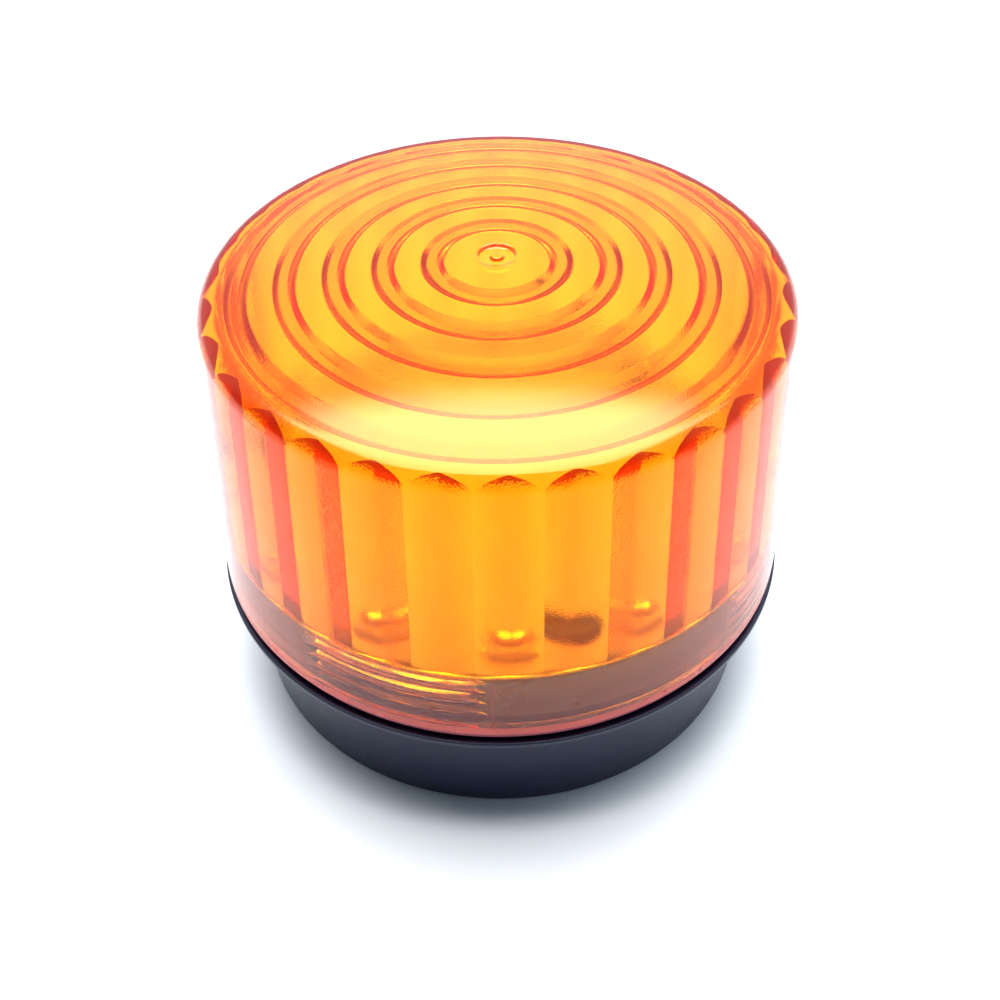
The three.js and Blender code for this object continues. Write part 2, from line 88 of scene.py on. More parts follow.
# ---- amber plastic ----
AMBER_IOR, AMBER_TINT, AMBER_DENSITY = 1.5, (0.997, 0.828, 0.0, 1), 1400.0
LEATHER_SCALE, LEATHER_DEPTH, INNER_FROSTING = 3200.0, 0.02, 0.16
AMBER_GLOW, EDGE_GLOW, EDGE_GLOW_STRENGTH = (1, 0.10, 0.02, 1), (1, 0.16, 0.12, 1), 0.1
GLOW_STEP, GLOW_LOW, GLOW_HIGH = (0.037, 0.040), 0.035, 0.085  # heights in metres, then the two strengths
TINT_HEIGHT = 0.1  # metres of height that the tint ramp spans
SKIRT_TINT = (0.366, (1, 0.95, 1, 1))
WALL_TINT, WALL_FROM, WALL_TO = (1, 0.5, 0.0, 1), 0.38, 0.745
ROOF_TINT = (0.775, (1, 0.98, 0.5, 1))


# ---- materials ----
def new_material(name):
    material = bpy.data.materials.new(name)
    material.use_nodes = True
    tree = material.node_tree
    shader = tree.nodes["Principled BSDF"]
    return material, tree, shader


def node(tree, kind, links=None, **settings):
    """A new node with its settings, and inputs linked or set from links = {socket: value or output}."""
    made = tree.nodes.new(kind)
    for key, value in settings.items():
        setattr(made, key, value)
    for socket, value in (links or {}).items():
        if isinstance(value, bpy.types.NodeSocket):
            tree.links.new(value, made.inputs[socket])
        else:
            made.inputs[socket].default_value = value
    return made


def moulded(name, dark, light, roughness, grain=0.25, relief=0.02, patch=6, metallic=0.0, specular=0.5):
    """A procedural finish: two shades in soft patches, a fine grain, and roughness that varies with it.
    grain and patch are sizes in millimetres, relief is the grain's height in millimetres."""
    material, tree, shader = new_material(name)
    place = node(tree, "ShaderNodeTexCoord").outputs["Object"]
    patches = node(tree, "ShaderNodeTexNoise", {"Vector": place, "Scale": 1000 / patch, "Detail": 4.0})
    fine = node(tree, "ShaderNodeTexNoise", {"Vector": place, "Scale": 1000 / grain, "Detail": 3.0})
    colour = node(tree, "ShaderNodeValToRGB", {"Fac": patches.outputs["Fac"]})
    colour.color_ramp.elements[0].position = 0.35
    colour.color_ramp.elements[1].position = 0.65
    colour.color_ramp.elements[0].color = (*dark, 1)
    colour.color_ramp.elements[1].color = (*light, 1)
    gloss = node(tree, "ShaderNodeMapRange", {
        "Value": patches.outputs["Fac"], "From Min": 0.3, "From Max": 0.7,
        "To Min": roughness[0], "To Max": roughness[1]})
    bump = node(tree, "ShaderNodeBump", {
        "Height": fine.outputs["Fac"], "Strength": 1.0, "Distance": relief * MM})
    tree.links.new(colour.outputs["Color"], shader.inputs["Base Color"])
    tree.links.new(gloss.outputs["Result"], shader.inputs["Roughness"])
    tree.links.new(bump.outputs["Normal"], shader.inputs["Normal"])
    shader.inputs["Metallic"].default_value = metallic
    shader.inputs["Specular IOR Level"].default_value = specular
    return material


def amber_plastic():
    """Clear amber plastic, coloured by depth. The attribute 'grain' roughens its inner faces. Its gloss is
    tinted by height, and a faint glow, a little stronger above the ledge, stands for scattered light."""
    material, tree, shader = new_material("amber_lens")
    place = node(tree, "ShaderNodeTexCoord").outputs["Object"]
    inner = node(tree, "ShaderNodeAttribute", attribute_name="grain").outputs["Fac"]
    leather = node(tree, "ShaderNodeTexVoronoi", {
        "Vector": place, "Scale": LEATHER_SCALE}, feature="SMOOTH_F1")
    relief = node(tree, "ShaderNodeMath", {0: leather.outputs["Distance"], 1: inner}, operation="MULTIPLY")
    bump = node(tree, "ShaderNodeBump", {
        "Height": relief.outputs[0], "Strength": 1.0, "Distance": LEATHER_DEPTH * MM})
    frosting = node(tree, "ShaderNodeMapRange", {"Value": inner, "To Min": 0.0, "To Max": INNER_FROSTING})
    tree.links.new(frosting.outputs["Result"], shader.inputs["Roughness"])
    tree.links.new(bump.outputs["Normal"], shader.inputs["Normal"])
    shader.inputs["Base Color"].default_value = (1, 1, 1, 1)
    height = node(tree, "ShaderNodeSeparateXYZ", {0: place}).outputs["Z"]
    share = node(tree, "ShaderNodeMapRange", {"Value": height, "From Min": 0.0, "From Max": TINT_HEIGHT})
    gloss = node(tree, "ShaderNodeValToRGB", {0: share.outputs["Result"]})
    ramp = gloss.color_ramp
    ramp.elements[0].position, ramp.elements[1].position = SKIRT_TINT[0], ROOF_TINT[0]
    ramp.elements[0].color, ramp.elements[1].color = SKIRT_TINT[1], ROOF_TINT[1]
    for position in (WALL_FROM, WALL_TO):
        ramp.elements.new(position).color = WALL_TINT
    tree.links.new(gloss.outputs["Color"], shader.inputs["Specular Tint"])
    shader.inputs["IOR"].default_value = AMBER_IOR
    shader.inputs["Transmission Weight"].default_value = 1
    shader.inputs["Emission Color"].default_value = AMBER_GLOW
    faint = node(tree, "ShaderNodeMapRange", {
        "Value": height, "From Min": GLOW_STEP[0], "From Max": GLOW_STEP[1],
        "To Min": GLOW_LOW, "To Max": GLOW_HIGH})
    tree.links.new(faint.outputs["Result"], shader.inputs["Emission Strength"])
    material.cycles.emission_sampling = "NONE"
    tint = node(tree, "ShaderNodeVolumeAbsorption", {"Color": AMBER_TINT, "Density": AMBER_DENSITY})
    tree.links.new(tint.outputs["Volume"], tree.nodes["Material Output"].inputs["Volume"])
    return material


def amber_edge():
    """The matt amber of the moulded edge, with the same faint glow."""
    material = moulded("amber_edge", (0.38, 0.03, 0.015), (0.46, 0.04, 0.025), (0.2, 0.32),
                       grain=0.3, relief=0.01)
    shader = material.node_tree.nodes["Principled BSDF"]
    shader.inputs["Emission Color"].default_value = EDGE_GLOW
    shader.inputs["Emission Strength"].default_value = EDGE_GLOW_STRENGTH
    return material


AMBER = amber_plastic()
AMBER_EDGE = amber_edge()
# Black plastic; the blue cast in both shades is a painted reflection of the bluish floor shade.
BASE_BLACK_PAINTED_BLUE_REFLECTION = moulded("base_black", (0.004, 0.006, 0.028), (0.006, 0.009, 0.036), (0.26, 0.36),
                     relief=0.006, specular=0.35)
RUBBER = moulded("rubber", (0.010, 0.010, 0.011), (0.020, 0.019, 0.019), (0.6, 0.8), grain=0.4, relief=0.03)
# The seal's maroon is painted amber light: black rubber coloured as if lit through the lens rim.
SEAL_PAINTED_AMBER_LIGHT = moulded("seal_painted_amber_light", (0.30, 0.045, 0.085), (0.38, 0.06, 0.11), (0.3, 0.45),
                      grain=0.4, relief=0.02)
BOARD_WHITE = moulded("board_white", (0.83, 0.81, 0.75), (0.89, 0.87, 0.82), (0.3, 0.42),
                      grain=0.5, relief=0.006)
BOARD_GREEN = moulded("board_green", (0.015, 0.11, 0.04), (0.03, 0.18, 0.07), (0.3, 0.45),
                      grain=0.6, relief=0.01)
PACKAGE_WHITE = moulded("led_package", (0.80, 0.79, 0.75), (0.88, 0.87, 0.83), (0.35, 0.5),
                        grain=0.2, relief=0.01)
PHOSPHOR = moulded("led_phosphor", (0.96, 0.88, 0.35), (0.98, 0.92, 0.45), (0.24, 0.3),
                   grain=0.3, relief=0.005, metallic=0.9)
SOLDER = moulded("solder", (0.62, 0.63, 0.65), (0.75, 0.76, 0.78), (0.25, 0.4), grain=0.5, metallic=1.0)
BLACK_STEEL = moulded("black_steel", (0.02, 0.02, 0.022), (0.05, 0.05, 0.055), (0.3, 0.5), grain=0.3,
                      relief=0.01, patch=2, metallic=0.7)
ZINC_STEEL = moulded("zinc_steel", (0.55, 0.56, 0.57), (0.70, 0.71, 0.72), (0.25, 0.42), grain=0.3,
                     relief=0.008, patch=2, metallic=1.0)
EPOXY = moulded("epoxy_black", (0.015, 0.015, 0.016), (0.03, 0.03, 0.031), (0.5, 0.7),
                grain=0.15, relief=0.02)
SLEEVE_BLUE = moulded("sleeve_blue", (0.02, 0.05, 0.20), (0.03, 0.07, 0.27), (0.22, 0.32), relief=0.004)
FERRITE = moulded("ferrite", (0.05, 0.05, 0.055), (0.09, 0.09, 0.095), (0.6, 0.8), grain=0.2, relief=0.03)
COPPER = moulded("copper_wire", (0.50, 0.18, 0.06), (0.68, 0.28, 0.10), (0.2, 0.35), metallic=0.9)
RESISTOR_TAN = moulded("resistor_tan", (0.52, 0.38, 0.22), (0.62, 0.48, 0.30), (0.35, 0.5), patch=1.5)
CERAMIC = moulded("ceramic_orange", (0.50, 0.18, 0.05), (0.62, 0.25, 0.08), (0.3, 0.45), patch=1.5)
TERMINAL_GREEN = moulded("terminal_green", (0.04, 0.30, 0.10), (0.06, 0.38, 0.14), (0.35, 0.5), patch=3)
BRASS = moulded("brass", (0.62, 0.45, 0.16), (0.78, 0.60, 0.25), (0.2, 0.35), patch=1.5, metallic=1.0)
LEAD_RED = moulded("lead_red", (0.45, 0.02, 0.015), (0.58, 0.04, 0.03), (0.3, 0.4), patch=3)
LEAD_BLACK = moulded("lead_black", (0.015, 0.015, 0.016), (0.03, 0.03, 0.03), (0.3, 0.4), patch=3)


# ---- shapes ----
def on_circle(radius, azimuth, z):
    angle = math.radians(azimuth)
    return (radius * math.sin(angle), -radius * math.cos(angle), z)


def arc(r, z, radius, start, end, steps):
    """Profile points on an arc about (r, z), angles in degrees from outwards towards up."""
    angles = [math.radians(start + (end - start) * i / steps) for i in range(steps + 1)]
    return [(r + radius * math.cos(t), z + radius * math.sin(t)) for t in angles]


def soften(profile, closed=False, steps=4):
    """Replaces each corner (r, z, radius) of a profile by an arc that touches both its sides."""
    made = []
    for i, corner in enumerate(profile):
        at = Vector(corner[:2])
        inside = closed or 0 < i < len(profile) - 1
        if len(corner) < 3 or not inside:
            made.append(tuple(at))
            continue
        back = (Vector(profile[i - 1][:2]) - at).normalized()
        ahead = (Vector(profile[(i + 1) % len(profile)][:2]) - at).normalized()
        half = back.angle(ahead) / 2
        reach = corner[2] / math.tan(half)
        centre = at + (back + ahead).normalized() * corner[2] / math.sin(half)
        start, end = at + back * reach - centre, at + ahead * reach - centre
        for k in range(steps + 1):
            made.append(tuple(centre + start.normalized().slerp(end.normalized(), k / steps) * corner[2]))
    return made


class Shape:
    """The points and faces of one piece, in millimetres, gathered before they become a mesh."""

    def __init__(self):
        self.points, self.faces, self.slots = [], [], []

    def loft(self, rings, slot=0, closed=False, wrap=True):
        """Faces between neighbouring rings of points. A ring of one point is a pole."""
        starts = []
        for ring in rings:
            starts.append(len(self.points))
            self.points += ring
        pairs = list(zip(range(len(rings) - 1), range(1, len(rings))))
        if closed:
            pairs.append((len(rings) - 1, 0))
        for low, high in pairs:
            count = max(len(rings[low]), len(rings[high]))
            for i in range(count if wrap else count - 1):
                j = (i + 1) % count
                corners = [(low, i), (low, j), (high, j), (high, i)]
                face = [starts[row] + (0 if len(rings[row]) == 1 else col) for row, col in corners]
                face = [p for k, p in enumerate(face) if p != face[k - 1]]
                self.faces.append(face)
                self.slots.append(slot)
        return self

    def turn(self, profile, slot=0, faces=96, closed=False, centre=(0, 0, 0)):
        """A profile of (radius, height) points turned about a vertical axis through centre."""
        rings = []
        for r, z in profile:
            steps = range(faces) if r > 1e-6 else range(1)
            ring = [on_circle(r, 360 * i / faces, z) for i in steps]
            rings.append([tuple(Vector(p) + Vector(centre)) for p in ring])
        return self.loft(rings, slot, closed)

    def pad(self, width, depth, low, high, corner, edge, slot=0, centre=(0, 0, 0), steps=4):
        """A block with rounded corners and edges, centred in x and y."""
        def ring(inset, z):
            made = []
            for sx, sy, first in ((1, 1, 0), (-1, 1, 90), (-1, -1, 180), (1, -1, 270)):
                radius = max(corner - inset, 0.02)
                x, y = sx * (width / 2 - inset - radius), sy * (depth / 2 - inset - radius)
                for r, t in arc(x, y, radius, first, first + 90, steps):
                    made.append((r + centre[0], t + centre[1], z + centre[2]))
            return made
        middle = (centre[0], centre[1])
        rise = arc(0, 0, edge, -90, 0, 3)
        rings = [[(*middle, low + centre[2])]]
        rings += [ring(edge - r, low + edge + t) for r, t in rise]
        rings += [ring(edge - r, high - edge - t) for r, t in reversed(rise)]
        rings += [[(*middle, high + centre[2])]]
        return self.loft(rings, slot)

    def place(self, matrix):
        self.points = [tuple(matrix @ Vector(p)) for p in self.points]
        return self

    def add(self, other):
        first = len(self.points)
        self.points += other.points
        self.faces += [[i + first for i in face] for face in other.faces]
        self.slots += other.slots
        return self

    def make(self, name, materials, sharp=32):
        mesh = bpy.data.meshes.new(name)
        mesh.from_pydata([[c * MM for c in p] for p in self.points], [], self.faces)
        mesh.update()
        for material in materials:
            mesh.materials.append(material)
        mesh.polygons.foreach_set("material_index", self.slots)
        made = bpy.data.objects.new(name, mesh)
        bpy.context.scene.collection.objects.link(made)
        outward(mesh)
        smooth(mesh, sharp)
        return made


def outward(mesh):
    """Turns every face to point out of the solid."""
    work = bmesh.new()
    work.from_mesh(mesh)
    bmesh.ops.recalc_face_normals(work, faces=work.faces)
    work.to_mesh(mesh)
    work.free()


def smooth(mesh, sharp):
    mesh.polygons.foreach_set("use_smooth", [True] * len(mesh.polygons))
    mesh.set_sharp_from_angle(angle=math.radians(sharp))


def cut(made, tool, operation="DIFFERENCE", sharp=32):
    """Cuts the tool out of an object, or joins it on, and deletes the tool."""
    change = made.modifiers.new("cut", "BOOLEAN")
    change.object, change.operation, change.solver = tool, operation, "EXACT"
    depth = bpy.context.evaluated_depsgraph_get()
    result = bpy.data.meshes.new_from_object(made.evaluated_get(depth))
    made.modifiers.remove(change)
    old = made.data
    made.data = result
    bpy.data.meshes.remove(old)
    bpy.data.objects.remove(tool)
    smooth(result, sharp)
    return made


def settle(made, body, slot, *nodes):
    """The piece stands for these CAD nodes and rides on their body. The slot is not used."""
    if nodes:
        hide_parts(*nodes)
    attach(made, body)
    return made


def dress(name, material, bevel=0.15):
    """Keeps a CAD node, with rounded edges and a procedural finish."""
    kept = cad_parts[name]
    kept.data.materials.clear()
    kept.data.materials.append(material)
    edge = kept.modifiers.new("edge", "BEVEL")
    edge.width, edge.segments, edge.limit_method = bevel * MM, 2, "ANGLE"
    edge.angle_limit = math.radians(40)
    edge.use_clamp_overlap = True
    return kept


# ---- threads ----
def ridge_height(azimuth, z, span, at_front):
    """How far a thread ridge stands out of its wall, from 0 to 1, at this place on the wall."""
    along = (azimuth - THREAD_START) % (360 / THREAD_COUNT)
    if along > THREAD_ARC:
        return 0.0
    segment_middle = azimuth - along + THREAD_ARC / 2
    taper = min(1.0, along / RIDGE_RUN_OUT, (THREAD_ARC - along) / RIDGE_RUN_OUT)
    axis_z = at_front + THREAD_LEAD * azimuth / 360
    turn = round((z - axis_z) / THREAD_LEAD)
    centre = axis_z + turn * THREAD_LEAD
    middle_z = centre + THREAD_LEAD * (segment_middle - azimuth) / 360
    if not span[0] - 0.2 <= middle_z <= span[1] + 0.2:
        return 0.0
    off = abs(z - centre)
    root, crest = RIDGE_ROOT_HALF * taper, RIDGE_CREST_HALF * taper
    return taper * max(0.0, min(1.0, (root - off) / max(root - crest, 1e-6)))


def spread(low, high, step):
    """Even places from low to high, about one step apart."""
    count = max(1, round((high - low) / step))
    return [low + (high - low) * i / count for i in range(count + 1)]


# ---- lens ----
def star_radius(azimuth):
    """Radius of the prism faces at the ledge: straight from each valley to each ridge."""
    half = math.radians(180 / PRISM_COUNT)
    off = math.radians((azimuth - PRISM_PHASE) % (360 / PRISM_COUNT))
    off = min(off, 2 * half - off)
    across = PRISM_VALLEY * math.sin(off) + PRISM_RIDGE * math.sin(half - off)
    return PRISM_VALLEY * PRISM_RIDGE * math.sin(half) / across


def drafted(radius, z):
    """The prism wall leans in as it rises."""
    return radius * (1 - PRISM_DRAFT * (z - LEDGE_Z))


def dome_height(r, top):
    return top - DOME_SAG * r * r


def lens_azimuths():
    """Columns of the lens: five on each prism face, and close pairs where a thread panel begins or ends."""
    half = 180 / PRISM_COUNT
    shares = (0.04, 0.27, 0.5, 0.73, 0.96)
    columns = []
    for i in range(2 * PRISM_COUNT):
        columns += [PRISM_PHASE + half * (i + share) for share in shares]
    for k in range(THREAD_COUNT):
        first = THREAD_START + 360 * k / THREAD_COUNT
        for edge in (first - PANEL_MARGIN, first + THREAD_ARC + PANEL_MARGIN):
            columns += [edge - 0.12, edge + 0.12]
    return sorted(a % 360 for a in columns)


def lens_outside():
    """Outer profile, from the top down to the moulded edge: gate mark, dome, shoulder and wall."""
    centre = SHOULDER_RADIUS - SHOULDER_FILLET
    slope = math.degrees(math.atan(2 * DOME_SAG * centre))
    fillet_z = dome_height(centre, DOME_TOP) - SHOULDER_FILLET
    level = dome_height(GATE_RADIUS, DOME_TOP)
    gate = [(0, level), (GATE_BUMP * 0.5, level - 0.02), (GATE_BUMP, level - 0.14),
            (GATE_BUMP + 0.35, level - GATE_DEPTH), (GATE_BUMP + 0.7, level - GATE_DEPTH - 0.05),
            (GATE_RADIUS - 1.1, level - GATE_DEPTH), (GATE_RADIUS - 0.6, level - GATE_DEPTH * 0.7),
            (GATE_RADIUS - 0.25, level - 0.08), (GATE_RADIUS, level)]
    dome = [(r, dome_height(r, DOME_TOP)) for r in spread(GATE_RADIUS + 0.4, centre - 0.4, 1.7)]
    shoulder = arc(centre, fillet_z, SHOULDER_FILLET, 90 - slope, 2.4, 14)
    wall_top = shoulder[-1]
    wall = []
    for t in (0.2, 0.4, 0.6, 0.8, 1):
        wall.append((wall_top[0] + (RIM_RADIUS - wall_top[0]) * t,
                     wall_top[1] + (RIM_Z + RIM_EDGE - wall_top[1]) * t))
    return gate + dome + shoulder + wall


def lens_inside(azimuth):
    """Inner profile at one azimuth, from the moulded edge to the middle of the roof."""
    panel = (azimuth - THREAD_START + PANEL_MARGIN) % (360 / THREAD_COUNT) <= THREAD_ARC + 2 * PANEL_MARGIN
    bore = SKIRT_BORE - (0.0 if panel else PANEL_STEP)
    depth = SKIRT_BORE - LENS_CREST
    skirt = [(bore + 0.3, RIM_Z + RIM_EDGE)]
    for z in spread(RIM_Z + RIM_EDGE + 0.2, LEDGE_Z - 0.25, 0.18):
        rise = ridge_height(azimuth, z, LENS_THREAD_SPAN, THREAD_AT_FRONT)
        skirt.append((bore - depth * rise, z))
    star = star_radius(azimuth)
    ledge = [(bore - 0.08, LEDGE_Z - 0.08), (bore - 0.25, LEDGE_Z), ((bore + star) / 2, LEDGE_Z),
             (star + 0.15, LEDGE_Z), (star + 0.04, LEDGE_Z + 0.04), (star, LEDGE_Z + 0.15)]
    top = DOME_TOP - ROOF
    fillet_z = dome_height(INNER_FILLET_CENTRE, top) - INNER_FILLET
    arch_z = fillet_z
    for _ in range(4):
        reach = drafted(star, arch_z) - INNER_FILLET_CENTRE
        arch = math.acos(min(1, reach / INNER_FILLET))
        arch_z = fillet_z + INNER_FILLET * math.sin(arch)
    heights = [LEDGE_Z + 0.15 + (arch_z - LEDGE_Z - 0.15) * t for t in (0.15, 0.35, 0.55, 0.75, 0.9, 1)]
    wall = [(drafted(star, z), z) for z in heights]
    roof = arc(INNER_FILLET_CENTRE, fillet_z, INNER_FILLET, math.degrees(arch), 83, 8)[1:]
    for i in reversed(range(RING_COUNT)):
        outer = RING_FIRST + RING_PITCH * i
        inner = outer - RING_WIDTH
        corners = [(outer + 0.15, 0), (outer - 0.12, 0.1), (outer - RING_SLOPE + 0.12, 0.9),
                   (outer - RING_SLOPE - 0.15, 1), (inner + RING_SLOPE + 0.15, 1),
                   (inner + RING_SLOPE - 0.12, 0.9), (inner + 0.12, 0.1), (inner - 0.15, 0)]
        roof += [(r, dome_height(r, top) - RING_DEPTH * share) for r, share in corners]
        flat_end = inner - (RING_PITCH - RING_WIDTH) + 0.15 if i else 0.0
        flat = [inner - 0.15 + (flat_end - inner + 0.15) * t for t in (0.35, 0.7)]
        roof += [(r, dome_height(r, top)) for r in flat]
    return skirt + ledge + wall + roof + [(0, top)]


def make_lens():
    """The clear cover: a point ring at each profile height, and one closed skin from outside to inside."""
    columns = lens_azimuths()
    outside = lens_outside()
    insides = [lens_inside(a) for a in columns]
    rings = [[(0, 0, outside[0][1])]]
    rings += [[on_circle(r, a, z) for a in columns] for r, z in outside[1:]]
    inner_start = len(rings)
    for k in range(len(insides[0]) - 1):
        rings.append([on_circle(*(insides[i][k][0], a), insides[i][k][1]) for i, a in enumerate(columns)])
    rings.append([(0, 0, insides[0][-1][1])])
    shape = Shape().loft(rings)
    lens = shape.make("lens_shell", [AMBER], sharp=14)
    first_inner = 1 + (inner_start - 1) * len(columns)
    grain = lens.data.attributes.new("grain", "FLOAT", "POINT")
    grain.data.foreach_set("value", [0.0 if i < first_inner else 1.0 for i in range(len(lens.data.vertices))])
    return settle(lens, "lens", "amber_lens", "lens")


def make_lens_edge():
    """The matt moulded edge along the bottom of the lens."""
    low, high = RIM_Z, RIM_Z + RIM_EDGE - 0.02
    profile = soften([(RIM_RADIUS - 1.5, low, 0.1), (RIM_RADIUS, low, 0.25), (RIM_RADIUS - 0.05, high, 0.05),
                      (RIM_RADIUS - 1.5, high, 0.1)], closed=True)
    edge = Shape().turn(profile, faces=240, closed=True).make("lens_edge", [AMBER_EDGE])
    return settle(edge, "lens", "amber_lens")


def make_seal_ring():
    low, high = FLANGE_TOP + GAP, RIM_Z - GAP
    inner, outer, waist = COLLAR_CREST + 0.25, 48.9, 0.25
    profile = soften([(inner, low, 0.2), (outer, low, 0.25), (outer - waist, (low + high) / 2, 0.3),
                      (outer, high, 0.25), (inner, high, 0.2)], closed=True)
    # Its finish is painted amber light over black rubber.
    ring = Shape().turn(profile, faces=192, closed=True).make("seal_ring_rubber", [SEAL_PAINTED_AMBER_LIGHT])
    return settle(ring, "seal", "rubber", "seal_ring")


# ---- base ----
def rod(radius, low, high, x, y, faces=32):
    return Shape().turn([(0, low), (radius, low), (radius, high), (0, high)], faces=faces, centre=(x, y, 0))


def make_base():
    """The cup: a turned shell with thread ridges round its collar, then posts joined on and holes cut."""
    below = soften([(0, FLOOR_LOW), (RECESS_RADIUS, FLOOR_LOW, 0.3), (RECESS_RADIUS, 0, 0.3),
                    (FOOT_RADIUS, 0, 0.6), (NECK_RADIUS, FLANGE_LOW, 0.5), (FLANGE_RADIUS, FLANGE_LOW, 0.5),
                    (FLANGE_RADIUS, FLANGE_TOP, 0.35), (FLANGE_RADIUS - 0.9, FLANGE_TOP, 0.1),
                    (FLANGE_RADIUS - 1.0, FLANGE_TOP - 0.2, 0.1),
                    (COLLAR_RADIUS, FLANGE_TOP - 0.2, 0.15), (COLLAR_RADIUS, FLANGE_TOP + 0.5)])
    above = soften([(COLLAR_RADIUS, COLLAR_TOP - 0.6), (COLLAR_RADIUS, COLLAR_TOP, 0.35),
                    (CUP_RADIUS, COLLAR_TOP, 0.3), (CUP_RADIUS, FLOOR_TOP, 0.8), (0, FLOOR_TOP)])
    columns = spread(0, 358.5, 1.5)
    collar = spread(FLANGE_TOP + 0.6, COLLAR_TOP - 0.65, 0.2)
    height = COLLAR_CREST - COLLAR_RADIUS
    rings = [[on_circle(r, a, z) for a in (columns if r > 1e-6 else [0])] for r, z in below]
    at_front = THREAD_AT_FRONT - THREAD_LEAD / 2
    for z in collar:
        rises = [height * ridge_height(a, z, COLLAR_THREAD_SPAN, at_front) for a in columns]
        rings.append([on_circle(COLLAR_RADIUS + rise, a, z) for rise, a in zip(rises, columns)])
    rings += [[on_circle(r, a, z) for a in (columns if r > 1e-6 else [0])] for r, z in above]
    base = Shape().loft(rings).make("base_shell", [BASE_BLACK_PAINTED_BLUE_REFLECTION])
    posts, pilots = Shape(), Shape()
    boss_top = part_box("driver_board")[0].z / MM - GAP
    rows = ((PILLAR_RING, PILLAR_AZIMUTHS, COLLAR_TOP), (BOSS_RING, BOSS_AZIMUTHS, boss_top))
    for ring, azimuths, top in rows:
        for azimuth in azimuths:
            x, y, _ = on_circle(ring, azimuth, 0)
            posts.add(rod(PILLAR_RADIUS, FLOOR_LOW + 0.8, top, x, y))
            pilots.add(rod(PILOT_RADIUS, top - PILOT_DEPTH + 1, top + 1, x, y))
    pilots.add(rod(GROMMET_HOLE, -1, FLOOR_TOP + 1, 0, GROMMET_Y, 48))
    cut(base, posts.make("posts", [BASE_BLACK_PAINTED_BLUE_REFLECTION]), "UNION")
    cut(base, pilots.make("pilots", [BASE_BLACK_PAINTED_BLUE_REFLECTION]))
    return settle(base, "base", "base_black", "base_housing")


def make_grommet():
    neck = GROMMET_HOLE - GAP
    profile = soften([(2, 0.2, 0.3), (5.2, 0.2, 0.3), (5.2, 0.9, 0.25), (neck, 0.9, 0.1), (neck, 3.7, 0.1),
                      (5.2, 3.7, 0.3), (4.6, 5, 0.5), (2, 5, 0.4)], closed=True)
    grommet = Shape().turn(profile, faces=64, closed=True, centre=(0, GROMMET_Y, 0))
    grommet = grommet.make("grommet_rubber", [RUBBER])
    return settle(grommet, "base", "rubber", "cable_grommet")


# ---- fasteners ----
def make_screw(name, material, slot):
    """A pan-head screw with a cross recess and a rolled thread, in the place of its CAD node."""
    low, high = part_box(name)
    x, y = ((low.x + high.x) / 2 / MM, (low.y + high.y) / 2 / MM)
    head, height, shank, length = SCREW_HEAD_RADIUS, SCREW_HEAD_HEIGHT, SCREW_SHANK, SCREW_LENGTH
    seat = high.z / MM - height
    root = shank - SCREW_THREAD_DEPTH
    profile = [(0, -length), (shank * 0.45, -length + 0.1), (root, -length + 1)]
    for k in range(SCREW_TURNS):
        z = -length + 1.2 + SCREW_PITCH * k
        profile += [(root, z), (shank, z + 0.25), (shank, z + 0.35)]
    profile += [(shank - 0.2, -0.4), (shank, -0.1)]
    profile += soften([(shank, 0), (head, 0, 0.15), (head, height * 0.4, 0.5),
                       (head * 0.72, height * 0.9, 0.8), (0, height)])[1:]
    azimuth = math.atan2(x, -y)
    turn = Matrix.Translation((x, y, seat)) @ Matrix.Rotation(azimuth, 4, "Z")
    screw = Shape().turn(profile, faces=48).place(turn).make(name + "_steel", [material])
    for width, depth, floor in RECESS_BARS:  # one at a time: crossed bars in one tool empty the whole screw
        bar = Shape().pad(width, depth, floor, 3, 0.3, 0.1).place(turn)
        cut(screw, bar.make("recess", [material]))
    return settle(screw, "base", slot, name)


# ---- LED board ----
def make_led_board():
    low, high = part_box("led_board")
    radius, z0, z1 = high.x / MM, low.z / MM, high.z / MM
    board = Shape().turn(soften([(0, z0), (radius, z0, 0.12), (radius, z1, 0.12), (0, z1)]), faces=192)
    board = board.make("led_board_panel", [BOARD_WHITE])
    holes = Shape()
    for azimuth in PILLAR_AZIMUTHS:
        x, y, _ = on_circle(PILLAR_RING, azimuth, 0)
        holes.add(rod(BOARD_HOLE, z0 - 1, z1 + 1, x, y))
    cut(board, holes.make("holes", [BOARD_WHITE]))
    return settle(board, "base", "board_white", "led_board")


def make_led(index):
    """A lamp with a white package, a dome and two solder contacts that reach down to the board."""
    name = f"led_{index + 1}"
    low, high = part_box(name)
    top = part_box("led_board")[1].z / MM
    azimuth = LED_PHASE + 360 * index / LED_COUNT
    seat = low.z / MM
    radius = LED_DOME_RADIUS
    plate = high.z / MM - seat - radius
    led = Shape().pad(LED_PLATE, LED_PLATE, 0, plate, 0.5, 0.12, slot=0)
    dome = [(0, plate - 0.05), (radius, plate - 0.05), *arc(0, plate, radius, 0, 90, 12)[:-1],
            (0, plate + radius)]
    led.turn(dome, slot=1, faces=32)
    for side in (-1, 1):
        led.add(Shape().pad(1.1, 3.2, top - seat + 0.02, 0.35, 0.2, 0.05, slot=2, centre=(side * 2.35, 0, 0)))
    at = Matrix.Translation(on_circle(LED_RING, azimuth, seat))
    turn = at @ Matrix.Rotation(math.radians(azimuth), 4, "Z")
    made = led.place(turn).make(name + "_lamp", [PACKAGE_WHITE, PHOSPHOR, SOLDER])
    return settle(made, "base", "led_body", name)


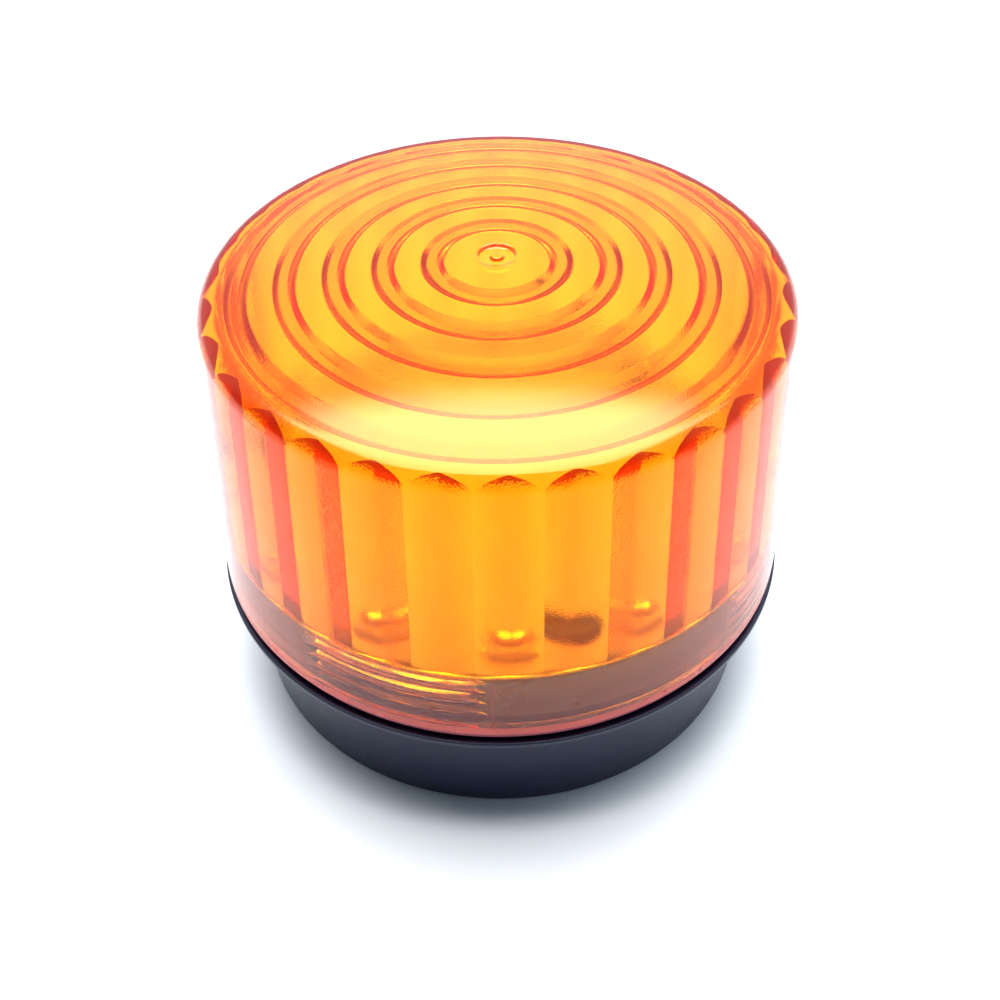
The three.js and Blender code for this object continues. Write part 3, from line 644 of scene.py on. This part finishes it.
# ---- pieces ----
make_lens()
make_lens_edge()
make_seal_ring()
make_base()
make_grommet()
make_led_board()
for i in range(LED_COUNT):
    make_led(i)
for i in (1, 2, 3):
    make_screw(f"led_board_screw_{i}", BLACK_STEEL, "black_steel")
    make_screw(f"driver_board_screw_{i}", ZINC_STEEL, "zinc_steel")
KEPT_NODES = {
    "driver_board": BOARD_GREEN, "reservoir_capacitor": SLEEVE_BLUE, "choke_core": FERRITE,
    "choke_winding": COPPER, "flasher_chip": EPOXY, "power_transistor": EPOXY, "rectifier_diode": EPOXY,
    "led_resistor_1": RESISTOR_TAN, "led_resistor_2": RESISTOR_TAN, "timing_capacitor": CERAMIC,
    "terminal_block": TERMINAL_GREEN, "terminal_screw_left": ZINC_STEEL, "terminal_screw_right": ZINC_STEEL,
    "terminal_cage_left": BRASS, "terminal_cage_right": BRASS, "link_lead_red": LEAD_RED,
    "link_lead_black": LEAD_BLACK}
for name, material in KEPT_NODES.items():
    dress(name, material)


# ---- studio ----
def make_floor():
    material = moulded("studio_floor", (0.86, 0.89, 0.93), (0.88, 0.91, 0.95), (0.55, 0.65), patch=200)
    floor = Shape().turn([(r, 0) for r in FLOOR_RINGS], faces=64).make("studio_floor", [material])
    floor.location.z = -FLOOR_DROP


def make_world():
    """A bluish tent, dim in front and bright behind, with one large soft panel of light overhead."""
    world = bpy.data.worlds.new("studio")
    bpy.context.scene.world = world
    world.use_nodes = True
    tree = world.node_tree
    way = node(tree, "ShaderNodeTexCoord").outputs["Generated"]

    def along(axis, near, far, fold=True):
        """1 where the way's part along this axis is under near, falling softly to 0 at far."""
        part = node(tree, "ShaderNodeVectorMath", {0: way, 1: axis}, operation="DOT_PRODUCT").outputs["Value"]
        if fold:
            part = node(tree, "ShaderNodeMath", {0: part}, operation="ABSOLUTE").outputs[0]
        return node(tree, "ShaderNodeMapRange", {
            "Value": part, "From Min": near, "From Max": far, "To Min": 1.0, "To Max": 0.0},
            interpolation_type="SMOOTHERSTEP").outputs["Result"]

    def both(first, second):
        return node(tree, "ShaderNodeMath", {0: first, 1: second}, operation="MULTIPLY").outputs[0]

    rise = math.radians(PANEL_ELEVATION)
    across = along((1, 0, 0), *PANEL_WIDTH)
    deep = along((0, math.sin(rise), -math.cos(rise)), *PANEL_DEPTH)
    above = along((0, 0, -1), *HORIZON, fold=False)
    panel = both(both(across, deep), above)
    glow = node(tree, "ShaderNodeBackground", {
        "Color": PANEL_COLOUR, "Strength": both(panel, PANEL_STRENGTH)})
    tent = tree.nodes["Background"]
    tent.inputs["Color"].default_value = TENT_COLOUR
    lit = both(along(TENT_AXIS, *TENT_TURN, fold=False), TENT_BACK - TENT_FRONT)
    wall = node(tree, "ShaderNodeMath", {0: lit, 1: TENT_FRONT}, operation="ADD")
    tree.links.new(wall.outputs[0], tent.inputs["Strength"])
    total = node(tree, "ShaderNodeAddShader", {0: glow.outputs[0], 1: tent.outputs[0]})
    tree.links.new(total.outputs[0], tree.nodes["World Output"].inputs["Surface"])


def make_camera():
    data = bpy.data.cameras.new("camera")
    data.lens = CAMERA_LENS
    camera = bpy.data.objects.new("camera", data)
    bpy.context.scene.collection.objects.link(camera)
    tilt = Matrix.Rotation(math.radians(90 - CAMERA_PITCH), 4, "X")
    roll = Matrix.Rotation(math.radians(CAMERA_ROLL), 4, "Z")
    camera.matrix_world = Matrix.Translation((0, -CAMERA_BACK, CAMERA_HEIGHT)) @ tilt @ roll
    bpy.context.scene.camera = camera


make_floor()
make_world()
make_camera()
bpy.context.scene.view_settings.view_transform = "Standard"
bpy.context.scene.cycles.max_bounces = LIGHT_BOUNCES
bpy.context.scene.cycles.transmission_bounces = LIGHT_BOUNCES
